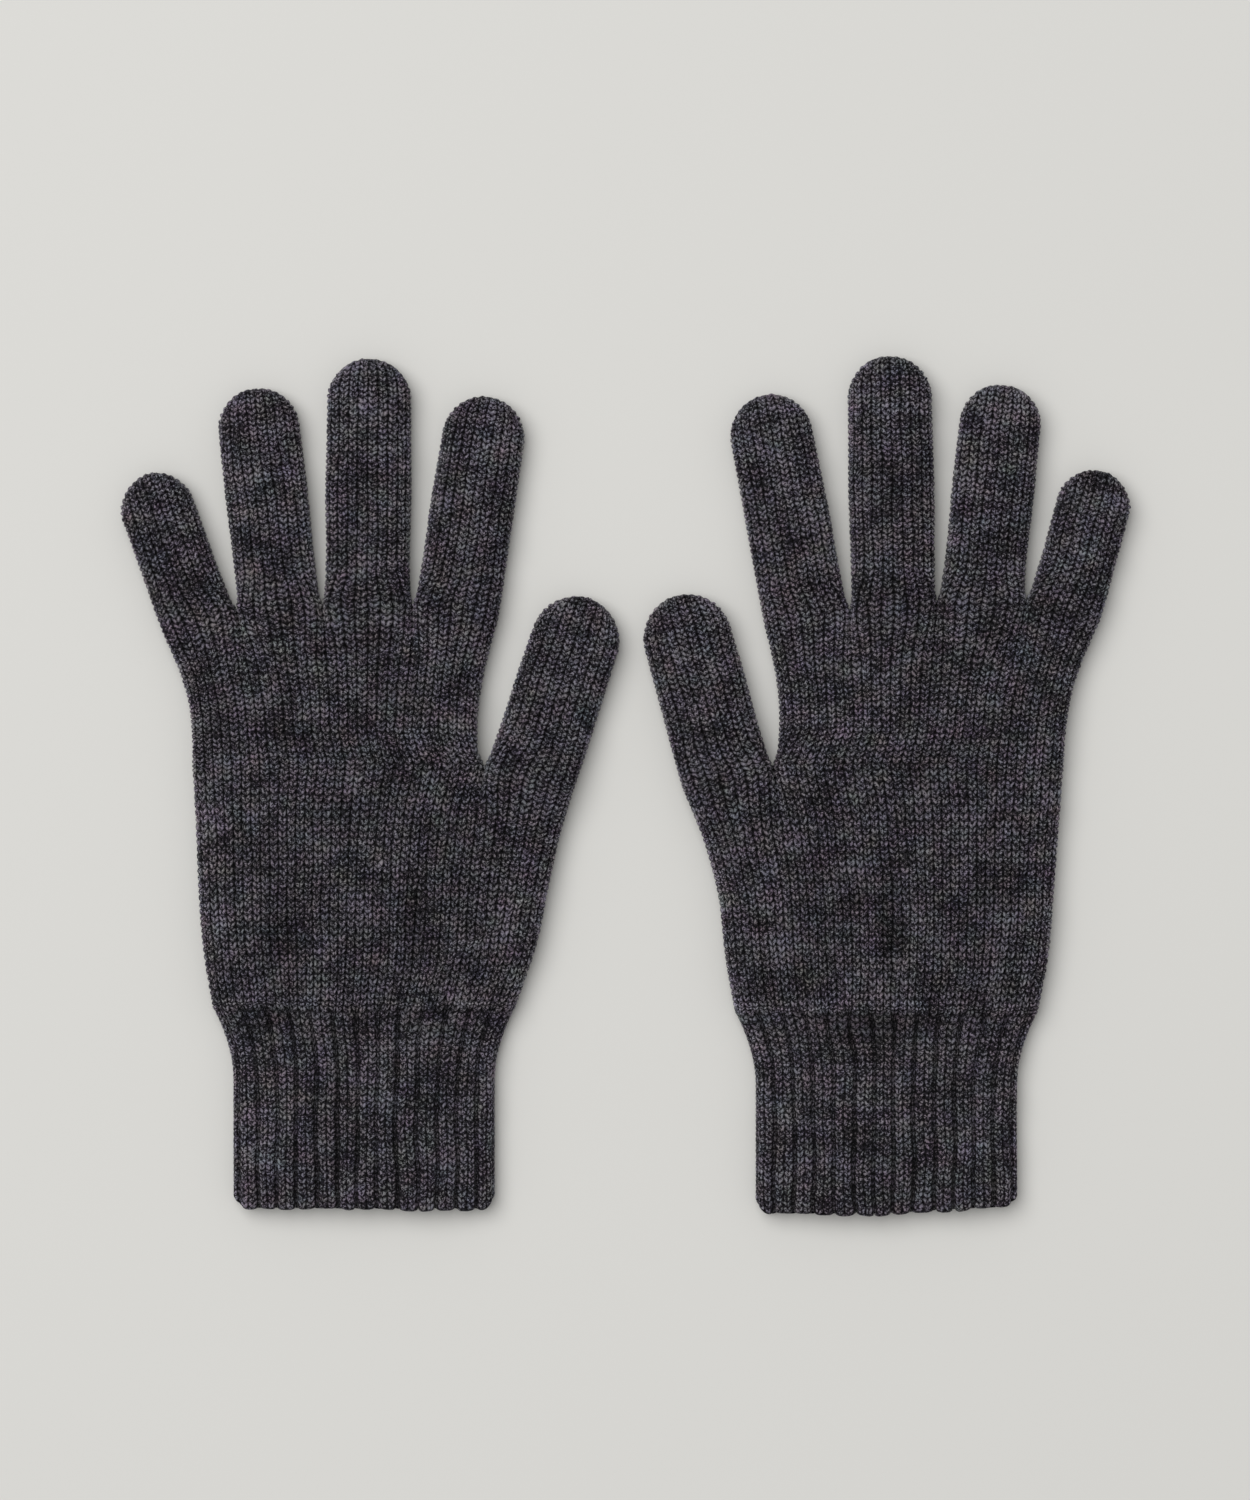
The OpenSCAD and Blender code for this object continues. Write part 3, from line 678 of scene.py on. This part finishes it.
def knit_digit_upper(glove, digit):
    """The digit's end: the wales stay nearly straight and run out at the rounded tip's shoulders."""
    knit = Knit(glove, [FRONT_WALES[digit.name]], DIGIT_IDS[digit.name])
    tip_r = digit.width * TIP_SHARE / 2
    shoulder = digit.length - tip_r
    # At places on the way up: how far they are from the root and how far round the end.
    straight = np.linspace(SPLIT * digit.length, shoulder, STRAIGHT_STEPS)
    turns = np.radians(np.linspace(0, TIP_END, ROUND_STEPS))[1:]
    at = np.concatenate([straight, shoulder + tip_r * np.sin(turns)])
    turn = np.concatenate([0 * straight, turns])
    crest = TUBE_HEIGHT * lerp(BELLY, 1, np.cos(turn) ** TIP_FLATNESS)
    climbed = np.concatenate([[0], np.cumsum(np.hypot(np.diff(at), np.diff(crest)))])
    full = face_length(digit_section(digit, shoulder)[0])
    rows = round(climbed[-1] / COURSE * COURSE_STEPS)
    for way_up in np.linspace(0, climbed[-1], rows + 1):
        narrow = math.cos(np.interp(way_up, climbed, turn))
        here = np.interp(way_up, climbed, at)
        section, sides = digit_section(digit, here, narrow, narrow**TIP_FLATNESS)
        crowd = min(TIP_CROWD, max(1, full / face_length(section))) if narrow < 1 else 1
        number = first_course(digit) + lower_courses(digit) + way_up / COURSE
        # Painted light, growing towards the tip.
        painted_tip_light = TIP_PAINTED_LIGHT * lerp(SPLIT, 1, way_up / climbed[-1])
        row = knit.add_row(section, number, painted_tip_light=painted_tip_light, open_sides=sides, crowd=crowd)
        row[:, :2] += tip_loops(row[:, :2] - (digit.root + digit.along * shoulder), digit, tip_r)
    return knit


def tip_loops(offset, digit, radius):
    """How far the loops that close a digit stand out round its rounded end."""
    ahead, beside = offset @ digit.along, offset @ digit.across
    out = np.hypot(ahead, beside)
    loop = np.arctan2(ahead, beside) / math.pi * TIP_LOOPS
    height = TIP_LOOP_HEIGHT * lerp(LOWEST_LOOP, HIGHEST_LOOP, chance(np.floor(loop), digit.length))
    only_at_rim = smooth(ahead / 3) * (out / radius) ** 4
    stand = height * (np.abs(np.sin(np.pi * loop)) - 0.5) * only_at_rim
    return offset * (stand / np.maximum(out, 1))[:, None]


# --- From grids to meshes --------------------------------------------------------------------------------


def grid_faces(index):
    """Quads of a grid of point numbers that closes round."""
    beside = np.roll(index, -1, axis=1)
    return np.stack([index[:-1], beside[:-1], beside[1:], index[1:]], axis=-1).reshape(-1, 4)


def grid_corners(left, right, height):
    """Map coordinates at the corners of a grid's quads, where left and right are those of its columns."""
    beside = np.roll(height, -1, axis=1)
    lower = [(left[:-1], height[:-1]), (right[:-1], beside[:-1])]
    upper = [(right[1:], beside[1:]), (left[1:], height[1:])]
    return np.stack([np.stack(pair, axis=-1) for pair in lower + upper], axis=-2).reshape(-1, 4, 2)


# Heights in the bake's map of the outer face, the lower cut, the inner face and the upper cut.
BAKE_OUTER, BAKE_CUT, BAKE_INNER, BAKE_END = (0, 0.8), (0.81, 0.82), (0.84, 0.98), (0.99, 1)


def sew(knit, name, closed_tip=False):
    """A closed mesh of a knitted tube: its outer and inner faces, and a strip or a cap at each end."""
    knit.shape()
    rows, columns = knit.outer.shape[:2]
    picked = np.unique(np.append(np.arange(0, rows, INNER_SKIP), rows - 1))
    outer = np.arange(rows * columns).reshape(rows, columns)
    inner = outer.size + np.arange(len(picked) * columns).reshape(-1, columns)
    points = np.vstack([knit.outer.reshape(-1, 3), knit.inner[picked].reshape(-1, 3)])
    hollow = np.concatenate([knit.hollow.ravel(), knit.hollow[picked].ravel()])
    mirrored = knit.glove.mirror < 0

    wale_step = (np.roll(knit.wales, -1) - knit.wales) % knit.round
    left, height = knit.stitch_u, knit.stitch_v
    strayed = left - knit.ids - knit.wales % 1
    right = np.roll(strayed, -1, axis=1) + knit.ids + knit.wales % 1 + wale_step
    seam = np.broadcast_to(np.arange(columns) / columns, (rows, columns))
    up, up_inner, up_cut, up_end = (
        np.linspace(*span, steps)[:, None] + np.zeros(columns)
        for span, steps in ((BAKE_OUTER, rows), (BAKE_INNER, len(picked)), (BAKE_CUT, 2), (BAKE_END, 2))
    )

    # Each sheet: its point numbers, its rows of the knit, its heights in the bake's map, if it is turned.
    sheets = [
        (outer, np.arange(rows), up, mirrored),
        (inner, picked, up_inner, not mirrored),
        (np.stack([outer[0], inner[0]]), [0, 0], up_cut, not mirrored),
    ]
    caps = []
    if closed_tip:
        caps = [(outer[-1], up[-1], mirrored), (inner[-1], up_inner[-1], not mirrored)]
    else:
        sheets.append((np.stack([outer[-1], inner[-1]]), [-1, -1], up_end, mirrored))
    faces, stitch, bake = [], [], []
    for index, taken, bake_height, turned in sheets:
        way = slice(None, None, -1) if turned else slice(None)
        faces.append(grid_faces(index)[:, way])
        stitch.append(grid_corners(left[taken], right[taken], height[taken])[:, way])
        bake.append(grid_corners(seam[taken], seam[taken] + 1 / columns, bake_height)[:, way])
    for ring, bake_height, turned in caps:
        way = slice(None, None, -1) if turned else slice(None)
        faces.append(ring[None, way])
        stitch.append(np.stack([left[-1], height[-1]], axis=-1)[None, way])
        bake.append(np.stack([seam[-1], bake_height], axis=-1)[None, way])

    mesh = make_mesh(name, knit.glove.place(points), faces, {"stitch": stitch, "OFBake": bake})
    # The painted shading rides on the mesh, for the wool's colour.
    mesh.attributes.new("hollow", "FLOAT", "POINT").data.foreach_set("value", hollow)
    cut_rings = [outer[0], inner[0]] if closed_tip else [outer[0], inner[0], outer[-1], inner[-1]]
    mark_sharp_rings(mesh, cut_rings)
    return add_object(name, mesh)


def add_object(name, data):
    added = bpy.data.objects.new(name, data)
    bpy.context.scene.collection.objects.link(added)
    return added


def make_mesh(name, points, faces, maps):
    """A smooth mesh. faces are arrays of point numbers, and maps hold values at those faces' corners."""
    mesh = bpy.data.meshes.new(name)
    corners = np.concatenate([f.ravel() for f in faces])
    sizes = np.concatenate([np.full(len(f), f.shape[1]) for f in faces])
    mesh.vertices.add(len(points))
    mesh.vertices.foreach_set("co", points.ravel())
    mesh.loops.add(len(corners))
    mesh.loops.foreach_set("vertex_index", corners)
    mesh.polygons.add(len(sizes))
    mesh.polygons.foreach_set("loop_start", np.cumsum(sizes) - sizes)
    mesh.update(calc_edges=True)
    mesh.validate()
    mesh.shade_smooth()
    for title, values in maps.items():
        flat = np.concatenate([v.reshape(-1) for v in values])
        mesh.uv_layers.new(name=title).data.foreach_set("uv", flat)
    return mesh


def mark_sharp_rings(mesh, rings):
    """Sharp edges round a tube's cut ends, so that the faces beside a cut are shaded as if it went on."""
    ring_of = np.zeros(len(mesh.vertices), int)
    for number, ring in enumerate(rings, 1):
        ring_of[ring] = number
    ends = np.zeros(len(mesh.edges) * 2, int)
    mesh.edges.foreach_get("vertices", ends)
    ring = ring_of[ends].reshape(-1, 2)
    sharp = (ring[:, 0] == ring[:, 1]) & (ring[:, 0] > 0)
    mesh.attributes.new("sharp_edge", "BOOLEAN", "EDGE").data.foreach_set("value", sharp)


# --- Yarn -----------------------------------------------------------------------------------------------

# The fibres are dyed in several greys before they are spun together, as melange yarn is.
YARN_DARK = "#1c1a1f"
YARN_COLOUR = "#454149"
YARN_PALE = "#807c84"
TONES = [(0.25, YARN_DARK), (0.52, YARN_COLOUR), (0.8, YARN_PALE)]  # each with its place on a scale of tones
# How far each of these moves the tone along that scale.
FLECKS = 4.6  # the fibres
STREAKS = 0.6  # the yarn, from one stretch of it to the next
STRANDS = 0.5  # the legs of the stitches
CLOUDS = 1.4  # broad patches where the glove is worn or brushed
DYES = 0.45  # how far the hue wanders between fibres of different dye


def per_metre(size):
    """The noise scale that gives features of this size in millimetres."""
    return 1 / (size * MM)


# A merino fibre is 0.02 mm thick and too fine to show. So fibres are drawn as tufts of them and the fuzz on
# the yarn as finer tufts, both as coarse as they need to be to show.
FIBRE_TUFTS = {"Scale": per_metre(1 / 1.7), "Detail": 1, "Roughness": 0.7}
FUZZ_TUFTS = {"Scale": per_metre(1 / 2.6), "Detail": 3}
LEGS_OF_YARN = {"Scale": per_metre(1 / 0.52), "Detail": 2}  # about as long as a stitch's leg
DYED_PATCHES = {"Scale": per_metre(6.25), "Detail": 2}
BROAD_PATCHES = {"Scale": per_metre(100 / 9), "Detail": 3, "Roughness": 0.6}
STREAK = (WALE / 17.5, COURSE / 3.05, 1)  # a stitch's share of a streak, 17.5 mm along the yarn by 3.05

RAGGED = 1.6  # how ragged the fibres make the edges of the pits between the legs
PIT_START, PIT_END = 0.3, 1.2  # from where to where on the way out of a leg the pit's painted shade darkens
PAINTED_PIT_LIGHT = 0.04  # how much light the painted shade leaves at a pit's bottom
FUZZ_HEIGHT = 0.2  # of the fuzz on the yarn
FUZZ_STRENGTH = 0.5  # how strongly it shows in the shading
MATT = 0.9  # roughness of wool, and of paper
GLOSS = 0.1  # wool's scales break up nearly all of its gloss
SHEEN = 0.2  # pale light that loose fibres catch at grazing angles
SHEEN_ROUGHNESS = 0.3


def srgb(code):
    """A hex colour as the linear values that a shader takes."""
    channels = [int(code[i : i + 2], 16) / 255 for i in (1, 3, 5)]
    return [c / 12.92 if c <= 0.04045 else ((c + 0.055) / 1.055) ** 2.4 for c in channels] + [1]


def add_node(tree, kind, inputs=(), output=0, **settings):
    """Adds a shader node and returns one of its outputs.

    inputs are values or other nodes' outputs, by the names of the sockets or else in their order.
    """
    node = tree.nodes.new(f"ShaderNode{kind}")
    for name, value in settings.items():
        setattr(node, name, value)
    pairs = inputs.items() if isinstance(inputs, dict) else enumerate(inputs)
    for socket, value in pairs:
        if isinstance(value, bpy.types.NodeSocket):
            tree.links.new(value, node.inputs[socket])
        else:
            node.inputs[socket].default_value = value
    return node.outputs[output]


def from_leg(node, stitch, fibre):
    """Distance from the middle of a stitch's leg, by the formula of stitch_gap() with ragged edges."""
    wale, course, _ = node("SeparateXYZ", [stitch]).node.outputs
    inside = node("Math", [wale], operation="FRACT")
    side = node("Math", [node("Math", [inside, 0.5], operation="SUBTRACT")], operation="ABSOLUTE")
    leg = node("Math", [node("Math", [wale, 2], operation="MULTIPLY")], operation="FLOOR")
    climb = node("Math", [course, node("Math", [side, LEG_RISE], operation="MULTIPLY")], operation="SUBTRACT")
    column = node("TexWhiteNoise", {"W": leg}, noise_dimensions="1D")
    shift = node("Math", [column, LEG_SHIFT], operation="MULTIPLY")
    climb = node("Math", [climb, shift], operation="ADD")
    course_share = node("Math", [climb], operation="FRACT")
    along = node("Math", [course_share, 2, -1], operation="MULTIPLY_ADD")
    across = node("Math", [side, 4, LEG_LEAN - 1], operation="MULTIPLY_ADD")
    distance = node("Math", [across, across], operation="MULTIPLY")
    distance = node("Math", [distance, LEG_SLIMNESS], operation="MULTIPLY")
    distance = node("Math", [along, along, distance], operation="MULTIPLY_ADD")
    place = node("CombineXYZ", [leg, node("Math", [climb], operation="FLOOR")])
    chance_of_leg = node("TexWhiteNoise", {"Vector": place}, noise_dimensions="2D")
    distance = node("Math", [chance_of_leg, LEG_DENT, distance], operation="MULTIPLY_ADD")
    fibre_share = node("Math", [fibre, 0.5], operation="SUBTRACT")
    return node("Math", [fibre_share, RAGGED, distance], operation="MULTIPLY_ADD")


def melange(node, place, stitch, fibre):
    """The yarn's colour: its patterns added up to a tone, and the dyes' hues over it."""
    strand = node("TexNoise", {"Vector": place, **LEGS_OF_YARN})
    cloud = node("TexNoise", {"Vector": place, **BROAD_PATCHES})
    along_yarn = node("VectorMath", [stitch, STREAK], operation="MULTIPLY")
    streak = node("TexNoise", {"Vector": along_yarn, "Scale": 1, "Detail": 2})
    tone = 0.5
    for pattern, contrast in ((fibre, FLECKS), (streak, STREAKS), (strand, STRANDS), (cloud, CLOUDS)):
        from_mean = node("Math", [pattern, 0.5], operation="SUBTRACT")
        tone = node("Math", [from_mean, contrast, tone], operation="MULTIPLY_ADD")
    grey = node("ValToRGB", [tone])
    steps = grey.node.color_ramp.elements
    steps.new(0.5)
    for step, (position, colour) in zip(steps, TONES):
        step.position = position
        step.color = srgb(colour)
    dyes = node("TexNoise", {"Vector": place, **DYED_PATCHES}, output="Color")
    tint = node("VectorMath", [dyes, [DYES] * 3, [1 - DYES / 2] * 3], operation="MULTIPLY_ADD")
    return node("VectorMath", [grey, tint], operation="MULTIPLY")


def wool(name):
    """Melange merino yarn, knitted: to the eye a dark matt grey, flecked with paler fibres.

    The stitches' legs catch the light, the pits between them are painted nearly black as shade, and the
    shader's sheen with a painted sheen on the tubes' sides gives the edges a faint pale halo.
    """
    material = bpy.data.materials.new(name)
    material.use_nodes = True
    tree = material.node_tree
    shader = tree.nodes["Principled BSDF"]
    node = partial(add_node, tree)
    stitch = node("UVMap", uv_map="stitch")
    place = node("TexCoord", output="Object")
    fibre = node("TexNoise", {"Vector": place, **FIBRE_TUFTS})
    # Painted shade in the pits between the stitches' legs, nearly black at their bottoms.
    pit_shade_range = {"From Min": PIT_START, "From Max": PIT_END, "To Min": 1.0, "To Max": PAINTED_PIT_LIGHT}
    light = node("MapRange", {"Value": from_leg(node, stitch, fibre), **pit_shade_range})
    # Painted shading from the mesh: darker in furrows and dents, lighter on swellings, sides and digit ends.
    hollow = node("Attribute", output="Fac", attribute_name="hollow")
    painted_light_from_shape = node("Math", [hollow, -PAINTED_SHADE_STRENGTH, 1], operation="MULTIPLY_ADD")
    light = node("Math", [light, painted_light_from_shape], operation="MULTIPLY")
    yarn = {0: melange(node, place, stitch, fibre), "Scale": light}
    colour = node("VectorMath", yarn, operation="SCALE")
    tree.links.new(colour, shader.inputs["Base Color"])
    shader.inputs["Roughness"].default_value = MATT
    shader.inputs["Specular IOR Level"].default_value = GLOSS
    shader.inputs["Sheen Weight"].default_value = SHEEN
    shader.inputs["Sheen Roughness"].default_value = SHEEN_ROUGHNESS
    fuzz = node("TexNoise", {"Vector": place, **FUZZ_TUFTS})
    bumps = node("Bump", {"Strength": FUZZ_STRENGTH, "Distance": FUZZ_HEIGHT * MM, "Height": fuzz})
    tree.links.new(bumps, shader.inputs["Normal"])
    return material


# --- Dressing the frame ---------------------------------------------------------------------------------

MIDDLE_BEND = 0.13  # how far either side of its middle crease a digit's crest points are taken, as a share of its length


def dress(glove, plain, rib):
    """Knits a glove's pieces, hangs the cuff and the finger body on the frame's bodies and leaves the rest
    where they lie.
    """
    side = glove.side
    cuff = sew(knit_cuff(glove), f"{side}_ribbed_cuff")
    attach(cuff, f"{side}_cuff")
    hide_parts(f"{side}_cuff", f"{side}_cuff_edge")
    palm = sew(knit_palm(glove), f"{side}_palm")
    wrist = glove.place(np.array([[0, CUFF_TOP, TUBE_HEIGHT], [0, -CUFF_TOP, TUBE_HEIGHT]]))
    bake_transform(palm)
    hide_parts(f"{side}_lower_hand")
    body = sew(knit_finger_body(glove), f"{side}_finger_body")
    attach(body, f"{side}_hand")
    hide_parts(f"{side}_upper_hand")
    pieces = [cuff, palm, body]
    for digit in glove.digits.values():
        pieces += dress_digit(glove, digit)
    for piece in pieces:
        piece.data.materials.append(rib if piece is cuff else plain)


def dress_digit(glove, digit):
    """Knits a digit's two pieces, the lower one up from its root and the upper one on to its tip."""
    name = f"{glove.side}_{digit.name}"
    lower = sew(knit_digit_lower(glove, digit), f"{name}_lower")
    start, end = on_crest(glove, digit, 0), on_crest(glove, digit, 2 * ROOT_CREASE)
    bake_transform(lower)
    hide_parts(f"{name}_base")
    upper = sew(knit_digit_upper(glove, digit), f"{name}_upper", closed_tip=True)
    start, end = (on_crest(glove, digit, MIDDLE_CREASE + way * MIDDLE_BEND) for way in (-1, 1))
    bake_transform(upper)
    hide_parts(f"{name}_tip")
    return [lower, upper]


def on_crest(glove, digit, share):
    """Place on the line along a digit's top, at a share of its length."""
    x, y = digit.root + digit.along * digit.length * share
    return glove.place(np.array([x, y, TUBE_HEIGHT]))


# --- Floor, light and camera, in metres and degrees --------------------------------------------------------

FIELD = 0.465  # height of floor in view
VIEW_CENTRE = (-0.0001, 0.011)
CAMERA_HEIGHT = 1.6
SENSOR = 36  # the camera's sensor along the picture's longer side, in millimetres
FAR = 50  # how far the camera sees

PAPER = "#dbdad6"  # the floor's matt paper
FLOOR_REACH = 3
FLOOR_GLOSS = 0.2

SKY = 0.4  # light from all round
KEY = 0.725  # light that the lamp gives to the floor
LAMP_SIZE = 4.2
LAMP_DISTANCE = 4
LAMP_HEIGHT = 64  # above the horizon
LAMP_TURN = 140  # from +X towards +Y


def add_floor():
    """A wide sheet of pale paper at z = 0, which is staging and no part of the gloves."""
    mesh = bpy.data.meshes.new("floor")
    corners = [(x * FLOOR_REACH, y * FLOOR_REACH, 0) for x, y in ((-1, -1), (1, -1), (1, 1), (-1, 1))]
    mesh.from_pydata(corners, [], [(0, 1, 2, 3)])
    floor = add_object("floor", mesh)
    paper = bpy.data.materials.new("pale_paper")
    paper.use_nodes = True
    shader = paper.node_tree.nodes["Principled BSDF"]
    shader.inputs["Base Color"].default_value = srgb(PAPER)
    shader.inputs["Roughness"].default_value = MATT
    shader.inputs["Specular IOR Level"].default_value = FLOOR_GLOSS
    mesh.materials.append(paper)


def add_light():
    """A large soft lamp and even light from all round. Past the floor the camera sees the floor's colour."""
    world = bpy.data.worlds.new("studio")
    bpy.context.scene.world = world
    world.use_nodes = True
    tree = world.node_tree
    sky = tree.nodes["Background"]
    sky.inputs["Color"].default_value = srgb("#ffffff")
    sky.inputs["Strength"].default_value = SKY
    node = partial(add_node, tree)
    seen = node("Background", {"Color": srgb(PAPER), "Strength": 1.0})
    both = node("MixShader", [node("LightPath", output="Is Camera Ray"), sky.outputs[0], seen])
    tree.links.new(both, tree.nodes["World Output"].inputs[0])
    data = bpy.data.lights.new("softbox", "AREA")
    data.shape = "DISK"
    data.size = LAMP_SIZE
    data.energy = KEY * (math.pi * LAMP_DISTANCE) ** 2 / math.sin(math.radians(LAMP_HEIGHT))
    lamp = add_object("softbox", data)
    tilt, turn = math.radians(90 - LAMP_HEIGHT), math.radians(LAMP_TURN)
    lamp.rotation_euler = (0, tilt, turn)
    towards = [math.sin(tilt) * math.cos(turn), math.sin(tilt) * math.sin(turn), math.cos(tilt)]
    lamp.location = LAMP_DISTANCE * np.array(towards)


def add_camera():
    """Looks straight down at the pair."""
    data = bpy.data.cameras.new("overhead")
    data.sensor_width = SENSOR
    data.lens = data.sensor_width * CAMERA_HEIGHT / FIELD
    data.clip_end = FAR
    camera = add_object("overhead", data)
    camera.location = (*VIEW_CENTRE, CAMERA_HEIGHT)
    bpy.context.scene.camera = camera


bpy.context.scene.view_settings.view_transform = "Standard"
add_camera()
add_light()
add_floor()
plain_knit, rib_knit = wool("merino_plain_knit"), wool("merino_rib_knit")
for side in ("left", "right"):
    dress(Glove(side), plain_knit, rib_knit)
